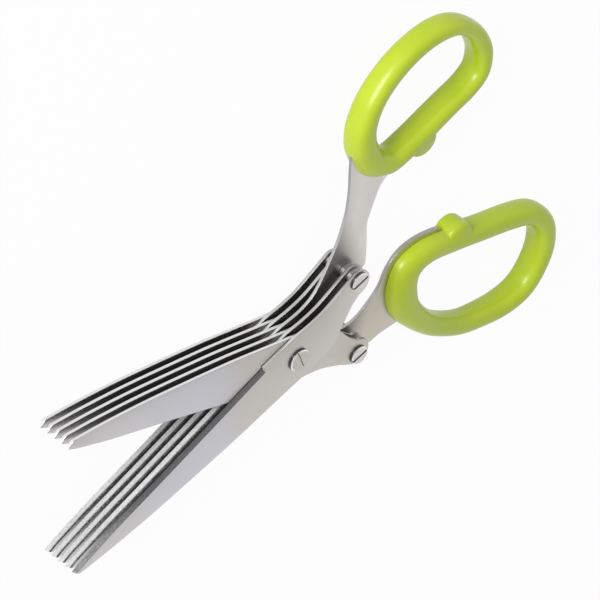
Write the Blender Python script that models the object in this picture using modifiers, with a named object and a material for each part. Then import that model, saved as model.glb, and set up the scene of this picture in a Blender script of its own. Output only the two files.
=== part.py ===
"""Herb scissors: two halves of five stacked blades turn on one pivot post.

Each half is built the way the real one is. Five stainless plates are held apart by
collars on a screw post behind the pivot, and thin washers part the pairs at the pivot
itself. The middle plate of each half runs on as a strap, and a soft-edged plastic loop
is moulded over its end.

X runs along the closed blades, with the tips at -X and the loops at +X. Y points to the
thumb loop. Z is the pivot axis, and Z = 0 is the back face of the pivot post, which the
scissors rest on. Outlines are drawn for closed scissors, and each half is then turned by
HALF_OPENING about the pivot, which is the pose at rest.
"""
import math

import bmesh
import bpy
from mathutils import Matrix, Vector

# Blade stack
BLADES_PER_HALF = 5
LONG_BLADE = 2                      # counted from the back, this plate carries the loop
PLATE_THICKNESS = 0.0010
SLIDING_GAP = 0.0001                # between faces that slide on each other
WASHER_THICKNESS = 0.00055
PITCH = 2 * PLATE_THICKNESS + WASHER_THICKNESS + 3 * SLIDING_GAP
HALF_OPENING = math.radians(16.5)   # each half, counted from closed

# Blade outline
BLADE_LENGTH = 0.0899               # pivot to tip
NOTCH_REACH = 0.0112                # pivot to the notch at which the sharpened edge ends
HEEL_DEPTH = 0.0093                 # pivot line to the edge side of the heel
NOTCH_STEP = 0.0008                 # the edge starts this far inside the heel
SPINE_DEPTH = 0.0084                # pivot line to the spine over the pivot
TIP_WIDTH = 0.0028
GRIND_WIDTH = 0.0019                # hollow-ground band along the edge
EDGE_LAND = 0.00015                 # steel left under the grind at the edge

# Tang
TANG_REACH = 0.0265                 # scale of the tang's outline along the blades
TANG_END_RADIUS = 0.0045
TANG_END_INSET = 0.0006             # the rounded end's centre sits this far before its post
TANG_END_RISE = 0.0009              # and this far nearer to the pivot line
POST_REACH = 0.0274                 # pivot to the finger tang post, along the closed blades
THUMB_POST_SETBACK = 0.0006         # the thumb tang post stands this much nearer
FINGER_POST_DROP = 0.0082           # tang posts, off the pivot line
THUMB_POST_DROP = 0.0076

# Posts and screws
PIVOT_POST_RADIUS = 0.0020
PIVOT_HEAD_RADIUS = 0.0036
TANG_POST_RADIUS = 0.0014
TANG_HEAD_RADIUS = 0.0030
TANG_FOOT_RADIUS = 0.0024
TANG_FOOT_HEIGHT = 0.0005
TANG_COLLAR_RADIUS = 0.0026
PIVOT_WASHER_RADIUS = 0.0046
HEAD_HEIGHT = 0.0009                # screw heads, and the pivot post's own back head
HEAD_CHAMFER = 0.00025
BORE_GAP = 0.0001                   # radial play of a post in its hole
SCREW_SHARE = 0.55                  # screw radius as a share of its post's radius
SCREW_DEPTH_SHARE = 0.6             # screw length as a share of the post's bore depth
SLOT_WIDTH = 0.0008
SLOT_DEPTH = 0.0004
PIVOT_SLOT_TURN = math.radians(123)  # as the screws happen to stand, on the closed halves
FINGER_SLOT_TURN = math.radians(30)
THUMB_SLOT_TURN = math.radians(-1)

# Straps: the middle plates run on behind the tang
FINGER_STRAP_REACH = 0.0468         # scale of the strap's outline along the blades
FINGER_STRAP_SPREAD = 0.0371        # and across them
THUMB_STRAP_REACH = 0.0466
THUMB_STRAP_SPREAD = 0.0370

# Loops
LOOP_THICKNESS = 0.0090             # along the pivot axis
LOOP_POCKET_GAP = 0.0003            # plastic to steel, all round the strap
FINGER_LOOP_FRONT = 0.0458          # centre line of the moulding, pivot to its front
FINGER_LOOP_LENGTH = 0.0590
FINGER_LOOP_WIDTH = 0.0341
FINGER_LOOP_BASE = -0.0171          # lowest point of that centre line
FINGER_LOOP_HALF_WALL = 0.0035      # half of the moulding's width on its long sides
FINGER_NUB_TIP = 0.0234             # stop nub, furthest point off the pivot line
THUMB_LOOP_FRONT = 0.0464
THUMB_LOOP_LENGTH = 0.0461
THUMB_LOOP_WIDTH = 0.0332
THUMB_LOOP_BASE = 0.0324
THUMB_LOOP_HALF_WALL = 0.0033
THUMB_NUB_TIP = 0.0256
NUB_X = 0.0638                      # stop nubs, along the closed blades
NUB_RADIUS = 0.0049
NUB_DEPTH_SHARE = 0.88              # the nub's round is this much shallower than wide
NUB_HEIGHT_SHARE = 0.78             # of the loop's thickness

OVERRUN = 0.0010                    # cutters pass their target by this much
WELD_DISTANCE = 0.000001
ROUND_STEPS = 24
LOOP_STATIONS = 50
LOOP_SECTION_STEPS = 16

# Edge side of the blade from tip to notch: (share of BLADE_LENGTH to the tip,
# share of HEEL_DEPTH off the pivot line).
EDGE_SHARES = [(1.000, 0.11), (0.962, 0.205), (0.880, 0.31), (0.795, 0.40), (0.576, 0.55), (0.335, 0.74)]
# The tip's oblique cut, from its point to its rounded corner, as shares of TIP_WIDTH.
TIP_CORNER_SHARES = [(0.36, 0.50), (0.62, 0.80)]
# Spine from over the pivot to the tip, as shares of BLADE_LENGTH and SPINE_DEPTH.
SPINE_SHARES = [(-0.095, 0.99), (-0.020, 0.99), (0.055, 0.96), (0.125, 0.935), (0.268, 0.90),
                (0.385, 0.84), (0.655, 0.63), (0.845, 0.39), (0.950, 0.205)]
# Heel side between the notch and the tang end, as shares of TANG_REACH and HEEL_DEPTH.
HEEL_SHARES = [(-0.19, 1.01), (0.06, 0.99), (0.26, 0.91), (0.49, 0.90), (0.75, 1.03)]
# Back of the tang from its end to the shoulder, as shares of TANG_REACH and SPINE_DEPTH.
SHOULDER_SHARES = [(0.83, -0.08), (0.67, 0.32), (0.55, 0.63), (0.465, 0.880)]

# Straps, as shares of their own reach and spread. The first list follows the side that
# faces the other half, the second the outer side, and the third the end that the
# plastic covers.
FINGER_STRAP_INNER_SHARES = [(0.530, -0.060), (0.630, -0.016), (0.709, 0.081), (0.780, 0.213),
                             (0.812, 0.372), (0.859, 0.472), (0.938, 0.555), (1.060, 0.598),
                             (1.200, 0.606)]
FINGER_STRAP_OUTER_SHARES = [(1.045, -0.207), (0.980, -0.229), (0.889, -0.267), (0.820, -0.310),
                             (0.690, -0.330)]
FINGER_STRAP_END_SHARES = [(1.265, 0.560), (1.190, 0.480), (1.095, 0.400), (1.030, 0.295),
                           (1.005, 0.150), (1.040, -0.020), (1.110, -0.130)]
THUMB_STRAP_INNER_SHARES = [(0.600, 0.052), (0.706, 0.070), (0.742, 0.143), (0.788, 0.300),
                            (0.830, 0.462), (0.867, 0.530), (0.933, 0.627), (1.009, 0.722),
                            (1.090, 0.770)]
THUMB_STRAP_OUTER_SHARES = [(0.895, 1.280), (0.852, 1.141), (0.803, 0.968), (0.740, 0.797),
                            (0.685, 0.689), (0.597, 0.551), (0.487, 0.419), (0.386, 0.311),
                            (0.305, 0.250), (0.225, 0.228)]
THUMB_STRAP_END_SHARES = [(1.180, 0.830), (1.110, 0.900), (1.040, 1.020), (1.005, 1.160),
                          (0.990, 1.300), (0.950, 1.340)]

# Half section of a stop nub, as shares of its radius and half height.
NUB_PROFILE_SHARES = [(0.0, 1.0), (0.45, 0.98), (0.75, 0.86), (0.93, 0.62), (1.0, 0.25), (1.0, -0.25),
                      (0.93, -0.62), (0.75, -0.86), (0.45, -0.98), (0.0, -1.0)]
# Loop centre lines: (share of the loop's length from its front, share of its width from
# its base, half width as a share of the loop's half wall, half thickness as a share of
# half of LOOP_THICKNESS).
FINGER_LOOP_STATION_SHARES = [
    (0.000, 0.704, 1.66, 1.00), (0.044, 0.485, 1.46, 1.00), (0.142, 0.305, 1.15, 0.97),
    (0.302, 0.122, 0.98, 0.90), (0.492, 0.014, 0.99, 0.86), (0.648, 0.002, 0.96, 0.90),
    (0.816, 0.047, 1.01, 0.97), (0.938, 0.172, 0.98, 1.00), (0.999, 0.422, 1.04, 1.00),
    (0.995, 0.642, 1.08, 1.00), (0.946, 0.821, 1.05, 0.98), (0.844, 0.948, 1.02, 0.92),
    (0.698, 0.985, 1.05, 0.88), (0.498, 0.989, 1.01, 0.90), (0.295, 0.998, 1.04, 0.95),
    (0.127, 0.994, 1.19, 1.00), (0.019, 0.891, 1.59, 1.00)]
THUMB_LOOP_STATION_SHARES = [
    (0.000, 0.408, 1.41, 1.00), (0.016, 0.212, 1.40, 1.00), (0.087, 0.082, 1.29, 1.00),
    (0.158, 0.014, 1.08, 1.00), (0.325, 0.000, 1.04, 1.00), (0.486, 0.009, 1.01, 1.00),
    (0.649, 0.018, 0.93, 1.00), (0.801, 0.022, 0.92, 1.00), (0.924, 0.086, 0.97, 1.00),
    (0.991, 0.254, 0.98, 0.98), (1.000, 0.430, 0.95, 0.95), (0.973, 0.617, 0.85, 0.93),
    (0.894, 0.812, 0.79, 0.93), (0.775, 0.932, 0.91, 0.93), (0.627, 0.996, 0.97, 0.92),
    (0.458, 0.999, 1.05, 0.92), (0.300, 0.946, 1.03, 0.94), (0.164, 0.845, 1.03, 0.97),
    (0.061, 0.690, 1.17, 1.00), (0.014, 0.542, 1.32, 1.00)]

PARTS = "herb_scissors"
CUTTERS = "herb_scissors_cutters"


def clear_scene():
    for old in list(bpy.data.objects):
        bpy.data.objects.remove(old, do_unlink=True)


def new_collection(name):
    collection = bpy.data.collections.new(name)
    bpy.context.scene.collection.children.link(collection)
    return collection


def material(name, colour, roughness, metallic):
    made = bpy.data.materials.new(name)
    made.use_nodes = True
    shader = made.node_tree.nodes["Principled BSDF"]
    shader.inputs["Base Color"].default_value = (*colour, 1.0)
    shader.inputs["Roughness"].default_value = roughness
    shader.inputs["Metallic"].default_value = metallic
    return made


def steel(name):
    return material(name, (0.56, 0.55, 0.54), 0.32, 1.0)


def add_part(name, mesh, paint, parent=None):
    """One named object in the parts collection, with its own material."""
    part = bpy.data.objects.new(name, mesh)
    bpy.data.collections[PARTS].objects.link(part)
    mesh.materials.clear()
    mesh.materials.append(paint)
    part.parent = parent
    return part


def add_cutter(name, mesh, parent=None):
    cutter = bpy.data.objects.new(name, mesh)
    bpy.data.collections[CUTTERS].objects.link(cutter)
    cutter.hide_render = True
    cutter.display_type = "WIRE"
    cutter.parent = parent
    return cutter


def boolean(part, other, operation="DIFFERENCE"):
    cut = part.modifiers.new(other.name, "BOOLEAN")
    cut.object = other
    cut.operation = operation
    cut.solver = "EXACT"


def turned_mesh(name, profile):
    """A closed solid from an (r, z) profile that starts and ends on the axis.

    The profile runs down the outer side, from the top of the axis to its bottom.
    """
    mesh = bpy.data.meshes.new(name)
    mesh.from_pydata([(r, 0.0, z) for r, z in profile], [(i, i + 1) for i in range(len(profile) - 1)], [])
    lathe = bpy.data.objects.new(name + "_lathe", mesh)
    bpy.context.scene.collection.objects.link(lathe)
    screw = lathe.modifiers.new("turn", "SCREW")
    screw.steps = ROUND_STEPS
    screw.render_steps = ROUND_STEPS
    screw.use_merge_vertices = True
    screw.merge_threshold = WELD_DISTANCE
    solid = baked_mesh(lathe, name)
    solid.shade_smooth()
    solid.set_sharp_from_angle(angle=math.radians(30))
    return solid


def ring_mesh(name, inner, outer, bottom, top):
    """A washer or collar: its rectangular section turned about the axis."""
    corners = [(outer, top), (outer, bottom), (inner, bottom), (inner, top), (outer, top)]
    return turned_mesh(name, corners)


def baked_mesh(source, name):
    """The object's evaluated shape as a welded mesh. The source object is removed."""
    bpy.context.view_layer.update()
    graph = bpy.context.evaluated_depsgraph_get()
    mesh = bpy.data.meshes.new_from_object(source.evaluated_get(graph))
    mesh.name = name
    shape = bmesh.new()
    shape.from_mesh(mesh)
    bmesh.ops.remove_doubles(shape, verts=shape.verts, dist=WELD_DISTANCE)
    bmesh.ops.recalc_face_normals(shape, faces=shape.faces)
    shape.to_mesh(mesh)
    shape.free()
    bpy.data.objects.remove(source, do_unlink=True)
    return mesh


def smooth_run(points, steps):
    """Catmull-Rom points through an open run, without its last point."""
    run = []
    last = len(points) - 1
    for i in range(last):
        before, start = points[max(i - 1, 0)], points[i]
        end, after = points[i + 1], points[min(i + 2, last)]
        for k in range(steps):
            t = k / steps
            run.append(tuple(
                (2 * s + (e - b) * t + (2 * b - 5 * s + 4 * e - a) * t ** 2
                 + (3 * s - b - 3 * e + a) * t ** 3) / 2
                for b, s, e, a in zip(before, start, end, after)))
    return run


def smooth_loop(points, count):
    """Catmull-Rom through a closed run of stations, sampled at count even steps."""
    size = len(points)
    loop = []
    for k in range(count):
        place = k * size / count
        i, t = int(place), place - int(place)
        b, s, e, a = (points[(i + j) % size] for j in (-1, 0, 1, 2))
        loop.append([
            (2 * s_ + (e_ - b_) * t + (2 * b_ - 5 * s_ + 4 * e_ - a_) * t ** 2
             + (3 * s_ - b_ - 3 * e_ + a_) * t ** 3) / 2
            for b_, s_, e_, a_ in zip(b, s, e, a)])
    return loop


def scaled(shares, across, up, start=(0.0, 0.0)):
    return [(start[0] + x * across, start[1] + y * up) for x, y in shares]


def arc(centre, radius, first, last, steps):
    """Points on an arc, angles in degrees."""
    turn = [math.radians(first + (last - first) * k / steps) for k in range(steps + 1)]
    return [(centre[0] + radius * math.cos(a), centre[1] + radius * math.sin(a)) for a in turn]


def plate_mesh(name, outline, bottom, top, grow=0.0):
    """A flat plate: the filled outline as a 2D curve, extruded both ways."""
    curve = bpy.data.curves.new(name, "CURVE")
    curve.dimensions = "2D"
    curve.fill_mode = "BOTH"
    curve.extrude = (top - bottom) / 2
    curve.offset = grow
    spline = curve.splines.new("POLY")
    spline.points.add(len(outline) - 1)
    for point, (x, y) in zip(spline.points, outline):
        point.co = (x, y, 0.0, 1.0)
    spline.use_cyclic_u = True
    flat = bpy.data.objects.new(name + "_curve", curve)
    flat.location.z = (top + bottom) / 2
    bpy.context.scene.collection.objects.link(flat)
    bpy.context.view_layer.update()
    place = flat.matrix_world.copy()
    mesh = baked_mesh(flat, name)
    mesh.transform(place)
    return mesh


def mirrored(points):
    """The thumb half's outline is the finger half's, turned over about the pivot line."""
    return [(x, -y) for x, y in reversed(points)]


def cutting_edge():
    """The sharpened side, from the tip to the notch, on the finger half."""
    points = scaled(EDGE_SHARES, -BLADE_LENGTH, -HEEL_DEPTH)
    points.append((-NOTCH_REACH, NOTCH_STEP - HEEL_DEPTH))
    return smooth_run(points, 3) + [points[-1]]


def spine():
    points = scaled(SPINE_SHARES, -BLADE_LENGTH, SPINE_DEPTH)
    return smooth_run(points, 3) + [points[-1]]


def heel_side(onward=()):
    """From the notch to the tang's end, or onward along a strap that leaves before it."""
    points = scaled(HEEL_SHARES, TANG_REACH, -HEEL_DEPTH)
    if onward:
        points = [point for point in points if point[0] < onward[0][0]]
    points = [(-NOTCH_REACH, -HEEL_DEPTH)] + points + list(onward)
    return smooth_run(points, 3) + [points[-1]]


def shoulder():
    points = scaled(SHOULDER_SHARES, TANG_REACH, SPINE_DEPTH)
    return smooth_run(points, 3) + [points[-1]]


def tip_corner():
    """The tip is cut off obliquely and its spine corner is rounded."""
    tip = scaled(EDGE_SHARES[:1], -BLADE_LENGTH, -HEEL_DEPTH)[0]
    return scaled(TIP_CORNER_SHARES, TIP_WIDTH, TIP_WIDTH, tip)


def short_outline(post):
    """Tip, cutting edge, heel, rounded tang end, shoulder and spine, in that order."""
    centre = (post[0] - TANG_END_INSET, TANG_END_RISE - post[1])
    end = arc(centre, TANG_END_RADIUS, -80, 100, 10)
    return cutting_edge() + heel_side() + end + shoulder() + spine() + tip_corner()[::-1]


def long_outline(inner, outer, covered):
    """As the short plate, but the tang runs on into the strap that carries the loop."""
    end = smooth_run([outer[0]] + covered[::-1], 2) + smooth_run([covered[0]] + inner[::-1], 2)
    edges = cutting_edge() + heel_side(outer[::-1])[:-1] + end
    return edges + [inner[0]] + shoulder()[2:] + spine() + tip_corner()[::-1]


def finger_strap():
    runs = (FINGER_STRAP_INNER_SHARES, FINGER_STRAP_OUTER_SHARES, FINGER_STRAP_END_SHARES)
    return [scaled(shares, FINGER_STRAP_REACH, FINGER_STRAP_SPREAD) for shares in runs]


def thumb_strap():
    """Drawn for the thumb half, then turned over to go on the shared blade outline."""
    runs = (THUMB_STRAP_INNER_SHARES, THUMB_STRAP_OUTER_SHARES, THUMB_STRAP_END_SHARES)
    sides = [scaled(shares, THUMB_STRAP_REACH, THUMB_STRAP_SPREAD) for shares in runs]
    return [[(x, -y) for x, y in side] for side in sides]


def plate_bottom(half, index):
    """Height of a plate's back face. Each finger plate lies behind its thumb plate."""
    lift = PLATE_THICKNESS + SLIDING_GAP if half == "thumb" else 0.0
    return HEAD_HEIGHT + SLIDING_GAP + index * PITCH + lift


def loop_mid_height():
    """The loops are centred on the sliding gap between the two long plates."""
    return plate_bottom("thumb", LONG_BLADE) - SLIDING_GAP / 2


def cylinder_mesh(name, radius, bottom, top, centre=(0.0, 0.0)):
    mesh = bpy.data.meshes.new(name)
    shape = bmesh.new()
    bmesh.ops.create_cone(shape, cap_ends=True, segments=ROUND_STEPS, radius1=radius, radius2=radius,
                          depth=top - bottom)
    bmesh.ops.translate(shape, verts=shape.verts, vec=(centre[0], centre[1], (top + bottom) / 2))
    shape.to_mesh(mesh)
    shape.free()
    return mesh


def grind_mesh(name, half, bottom):
    """A wedge that runs along the cutting edge and takes the bevel off one face.

    The bevel is on the face turned away from the mating blade: the back of a finger
    plate and the front of a thumb plate. The wedge's section is a triangle, carried
    along the edge line.
    """
    edge = cutting_edge()
    rise = OVERRUN * (PLATE_THICKNESS - EDGE_LAND) / GRIND_WIDTH
    low, high = EDGE_LAND - rise, PLATE_THICKNESS + rise
    section = [(-OVERRUN, low), (GRIND_WIDTH + OVERRUN, high), (-OVERRUN, high)]
    start = Vector(edge[0]) - Vector(edge[1])
    finish = Vector(edge[-1]) - Vector(edge[-2])
    path = [Vector(edge[0]) + start.normalized() * OVERRUN] + [Vector(p) for p in edge]
    path[-1] = path[-1] - finish.normalized() * SLIDING_GAP
    shape = bmesh.new()
    rings = []
    for i, point in enumerate(path):
        ahead = path[min(i + 1, len(path) - 1)] - path[max(i - 1, 0)]
        inward = Vector((-ahead.y, ahead.x)).normalized()
        ring = []
        for offset, height in section:
            place = point + inward * offset
            level = height if half == "thumb" else PLATE_THICKNESS - height
            side = -place.y if half == "thumb" else place.y
            ring.append(shape.verts.new((place.x, side, bottom + level)))
        rings.append(ring)
    for back, front in zip(rings, rings[1:]):
        for j in range(3):
            shape.faces.new((back[j], back[(j + 1) % 3], front[(j + 1) % 3], front[j]))
    shape.faces.new(rings[0])
    shape.faces.new(rings[-1])
    bmesh.ops.recalc_face_normals(shape, faces=shape.faces)
    mesh = bpy.data.meshes.new(name)
    shape.to_mesh(mesh)
    shape.free()
    return mesh


def tang_post(half):
    """Reach along the blades and drop off the pivot line, before a half is turned over."""
    if half == "finger":
        return (POST_REACH, FINGER_POST_DROP)
    return (POST_REACH - THUMB_POST_SETBACK, THUMB_POST_DROP)


def tang_place(half):
    reach, drop = tang_post(half)
    return (reach, drop if half == "thumb" else -drop)


def add_blades(half, pivot):
    """Five plates with a hole for the pivot post, one for the tang post, and a grind."""
    strap = finger_strap() if half == "finger" else thumb_strap()
    for index in range(BLADES_PER_HALF):
        outline = long_outline(*strap) if index == LONG_BLADE else short_outline(tang_post(half))
        if half == "thumb":
            outline = mirrored(outline)
        bottom = plate_bottom(half, index)
        name = f"{half}_blade_{index + 1}"
        mesh = plate_mesh(name, outline, bottom, bottom + PLATE_THICKNESS)
        blade = add_part(name, mesh, steel(name), pivot)
        below, above = bottom - OVERRUN, bottom + PLATE_THICKNESS + OVERRUN
        holes = (("pivot", PIVOT_POST_RADIUS, (0.0, 0.0)), ("tang", TANG_POST_RADIUS, tang_place(half)))
        for label, radius, centre in holes:
            hole = cylinder_mesh(f"{name}_{label}_hole", radius + BORE_GAP, below, above, centre)
            boolean(blade, add_cutter(hole.name, hole, pivot))
        grind = grind_mesh(f"{name}_grind", half, bottom)
        boolean(blade, add_cutter(grind.name, grind, pivot))


def post_profile(radius, foot_radius, foot_height, bottom, top, bore_radius, bore_depth):
    """Back foot, barrel and blind bore from the front, as an (r, z) profile."""
    shoulder_z = bottom + foot_height
    return [
        (0.0, top - bore_depth), (bore_radius, top - bore_depth), (bore_radius, top), (radius, top),
        (radius, shoulder_z), (foot_radius, shoulder_z), (foot_radius, bottom + HEAD_CHAMFER),
        (foot_radius - HEAD_CHAMFER, bottom), (0.0, bottom)]


def screw_profile(radius, head_radius, seat, length):
    """Slotted cheese head with a chamfered rim, and the shank below it."""
    return [
        (0.0, seat + HEAD_HEIGHT), (head_radius - HEAD_CHAMFER, seat + HEAD_HEIGHT),
        (head_radius, seat + HEAD_HEIGHT - HEAD_CHAMFER), (head_radius, seat), (radius, seat),
        (radius, seat - length), (0.0, seat - length)]


def slot_mesh(name, head_radius, seat, centre, turn):
    mesh = bpy.data.meshes.new(name)
    shape = bmesh.new()
    bmesh.ops.create_cube(shape, size=1.0)
    length, height = 2 * (head_radius + OVERRUN), SLOT_DEPTH + OVERRUN
    bmesh.ops.scale(shape, verts=shape.verts, vec=(length, SLOT_WIDTH, height))
    bmesh.ops.rotate(shape, verts=shape.verts, matrix=Matrix.Rotation(turn, 3, "Z"))
    middle = seat + HEAD_HEIGHT - SLOT_DEPTH + height / 2
    bmesh.ops.translate(shape, verts=shape.verts, vec=(centre[0], centre[1], middle))
    shape.to_mesh(mesh)
    shape.free()
    return mesh


def add_post_and_screw(label, pivot, centre, radius, head_radius, foot, back, front, slot_turn):
    """A barrel with a back foot runs through the stack, and a slotted screw closes it.

    foot is the radius and height of the post's own back head, back the rearmost face
    that it bears on, and front the face that the screw's head bears on.
    """
    foot_radius, foot_height = foot
    bottom = back - SLIDING_GAP - foot_height
    top = front - SLIDING_GAP
    bore_depth = (top - bottom) * SCREW_DEPTH_SHARE + OVERRUN
    screw_radius = radius * SCREW_SHARE
    bore_radius = screw_radius + BORE_GAP
    profile = post_profile(radius, foot_radius, foot_height, bottom, top, bore_radius, bore_depth)
    post = add_part(f"{label}_post", turned_mesh(f"{label}_post", profile), steel(f"{label}_post"), pivot)
    seat = front + SLIDING_GAP
    length = (top - bottom) * SCREW_DEPTH_SHARE
    profile = screw_profile(screw_radius, head_radius, seat, length)
    screw = add_part(f"{label}_screw", turned_mesh(f"{label}_screw", profile), steel(f"{label}_screw"), pivot)
    for piece in (post, screw):
        piece.data.transform(Matrix.Translation((centre[0], centre[1], 0.0)))
    slot = slot_mesh(f"{label}_slot", head_radius, seat, centre, slot_turn)
    boolean(screw, add_cutter(slot.name, slot, pivot))


def add_tang_collars(half, pivot):
    """Collars on the tang post keep the five tangs one pitch apart."""
    centre = tang_place(half)
    for index in range(BLADES_PER_HALF - 1):
        name = f"{half}_tang_collar_{index + 1}"
        bottom = plate_bottom(half, index) + PLATE_THICKNESS + SLIDING_GAP
        top = plate_bottom(half, index + 1) - SLIDING_GAP
        mesh = ring_mesh(name, TANG_POST_RADIUS + BORE_GAP, TANG_COLLAR_RADIUS, bottom, top)
        mesh.transform(Matrix.Translation((centre[0], centre[1], 0.0)))
        add_part(name, mesh, steel(name), pivot)


def add_pivot_washers(pivot):
    """Thin washers on the pivot post part each pair of blades from the next."""
    for index in range(BLADES_PER_HALF - 1):
        name = f"pivot_washer_{index + 1}"
        bottom = plate_bottom("thumb", index) + PLATE_THICKNESS + SLIDING_GAP
        mesh = ring_mesh(name, PIVOT_POST_RADIUS + BORE_GAP, PIVOT_WASHER_RADIUS, bottom,
                         bottom + WASHER_THICKNESS)
        add_part(name, mesh, steel(name), pivot)


def loop_mesh(name, stations, front, base, length, width, half_wall):
    """The moulding: a soft rectangular section lofted round a closed centre line."""
    middle = loop_mid_height()
    line = smooth_loop(stations, LOOP_STATIONS)
    places = [Vector((front + s[0] * length, base + s[1] * width)) for s in line]
    shape = bmesh.new()
    rings = []
    for i, station in enumerate(line):
        along = places[(i + 1) % LOOP_STATIONS] - places[i - 1]
        outward = Vector((along.y, -along.x)).normalized()
        half_width, half_height = station[2] * half_wall, station[3] * LOOP_THICKNESS / 2
        ring = []
        for k in range(LOOP_SECTION_STEPS):
            turn = 2 * math.pi * k / LOOP_SECTION_STEPS
            across, up = soft_section(turn)
            place = places[i] + outward * half_width * across
            ring.append(shape.verts.new((place.x, place.y, middle + half_height * up)))
        rings.append(ring)
    for i in range(LOOP_STATIONS):
        near, far = rings[i], rings[(i + 1) % LOOP_STATIONS]
        for k in range(LOOP_SECTION_STEPS):
            n = (k + 1) % LOOP_SECTION_STEPS
            shape.faces.new((near[k], near[n], far[n], far[k]))
    bmesh.ops.recalc_face_normals(shape, faces=shape.faces)
    mesh = bpy.data.meshes.new(name)
    shape.to_mesh(mesh)
    shape.free()
    mesh.shade_smooth()
    return mesh


def soft_section(turn, squareness=2.4):
    """A point of the unit superellipse, a little squarer than a circle."""
    c, s = math.cos(turn), math.sin(turn)
    power = 2 / squareness
    return math.copysign(abs(c) ** power, c), math.copysign(abs(s) ** power, s)


def nub_mesh(name, tip_y, inward):
    """A rounded rib across the loop's side, which stops the loops as they close."""
    half = NUB_HEIGHT_SHARE * LOOP_THICKNESS / 2
    profile = [(NUB_RADIUS * r, half * z) for r, z in NUB_PROFILE_SHARES]
    mesh = turned_mesh(name, profile)
    mesh.transform(Matrix.Diagonal((1.0, NUB_DEPTH_SHARE, 1.0, 1.0)))
    centre = (NUB_X, tip_y + inward * NUB_RADIUS * NUB_DEPTH_SHARE, loop_mid_height())
    mesh.transform(Matrix.Translation(centre))
    return mesh


def add_loop(half, pivot):
    """Plastic moulded over the strap's end, with a pocket that keeps clear of the steel."""
    if half == "finger":
        stations, strap = FINGER_LOOP_STATION_SHARES, finger_strap()
        mesh = loop_mesh("finger_loop", stations, FINGER_LOOP_FRONT, FINGER_LOOP_BASE,
                         FINGER_LOOP_LENGTH, FINGER_LOOP_WIDTH, FINGER_LOOP_HALF_WALL)
        inward, nub_tip, outline = -1, FINGER_NUB_TIP, long_outline(*strap)
    else:
        stations, strap = THUMB_LOOP_STATION_SHARES, thumb_strap()
        mesh = loop_mesh("thumb_loop", stations, THUMB_LOOP_FRONT, THUMB_LOOP_BASE,
                         THUMB_LOOP_LENGTH, THUMB_LOOP_WIDTH, THUMB_LOOP_HALF_WALL)
        inward, nub_tip, outline = 1, THUMB_NUB_TIP, mirrored(long_outline(*strap))
    paint = material(f"{half}_loop", (0.45, 0.58, 0.03), 0.25, 0.0)
    loop = add_part(f"{half}_loop", mesh, paint, pivot)
    nub = nub_mesh(f"{half}_nub", nub_tip, inward)
    boolean(loop, add_cutter(nub.name, nub, pivot), "UNION")
    bottom = plate_bottom(half, LONG_BLADE)
    pocket = plate_mesh(f"{half}_pocket", outline, bottom - LOOP_POCKET_GAP,
                        bottom + PLATE_THICKNESS + LOOP_POCKET_GAP, LOOP_POCKET_GAP)
    boolean(loop, add_cutter(pocket.name, pocket, pivot))


def add_half(half):
    """One half under an empty on the pivot axis, which turns it to its pose at rest."""
    pivot = bpy.data.objects.new(f"{half}_half_pivot", None)
    bpy.data.collections[PARTS].objects.link(pivot)
    add_blades(half, pivot)
    add_tang_collars(half, pivot)
    back = plate_bottom(half, 0)
    front = plate_bottom(half, BLADES_PER_HALF - 1) + PLATE_THICKNESS
    slot_turn = FINGER_SLOT_TURN if half == "finger" else THUMB_SLOT_TURN
    foot = (TANG_FOOT_RADIUS, TANG_FOOT_HEIGHT)
    add_post_and_screw(f"{half}_tang", pivot, tang_place(half), TANG_POST_RADIUS, TANG_HEAD_RADIUS, foot,
                       back, front, slot_turn)
    add_loop(half, pivot)
    pivot.rotation_euler.z = HALF_OPENING if half == "thumb" else -HALF_OPENING
    return pivot


def build():
    clear_scene()
    new_collection(PARTS)
    new_collection(CUTTERS)
    finger = add_half("finger")
    add_half("thumb")
    back = plate_bottom("finger", 0)
    front = plate_bottom("thumb", BLADES_PER_HALF - 1) + PLATE_THICKNESS
    foot = (PIVOT_HEAD_RADIUS, HEAD_HEIGHT)
    add_post_and_screw("pivot", finger, (0.0, 0.0), PIVOT_POST_RADIUS, PIVOT_HEAD_RADIUS, foot, back, front,
                       PIVOT_SLOT_TURN)
    add_pivot_washers(finger)
    bpy.context.view_layer.update()


build()
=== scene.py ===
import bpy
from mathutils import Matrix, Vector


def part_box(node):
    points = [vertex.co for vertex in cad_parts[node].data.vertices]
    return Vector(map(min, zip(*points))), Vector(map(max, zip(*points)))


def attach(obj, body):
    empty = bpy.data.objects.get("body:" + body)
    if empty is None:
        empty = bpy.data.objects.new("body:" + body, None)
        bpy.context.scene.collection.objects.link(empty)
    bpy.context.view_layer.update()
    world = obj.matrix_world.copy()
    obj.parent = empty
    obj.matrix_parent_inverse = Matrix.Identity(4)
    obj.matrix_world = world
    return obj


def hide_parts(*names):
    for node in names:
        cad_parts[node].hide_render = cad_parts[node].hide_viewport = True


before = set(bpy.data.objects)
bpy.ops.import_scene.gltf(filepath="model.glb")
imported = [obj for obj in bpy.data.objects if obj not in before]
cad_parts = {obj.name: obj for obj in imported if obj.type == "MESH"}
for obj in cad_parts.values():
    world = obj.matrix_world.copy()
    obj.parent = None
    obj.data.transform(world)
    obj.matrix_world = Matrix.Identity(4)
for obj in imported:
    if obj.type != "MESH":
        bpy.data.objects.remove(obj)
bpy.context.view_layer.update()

import math

import bmesh
import bpy
import numpy as np
from mathutils import Matrix, Vector

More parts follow.
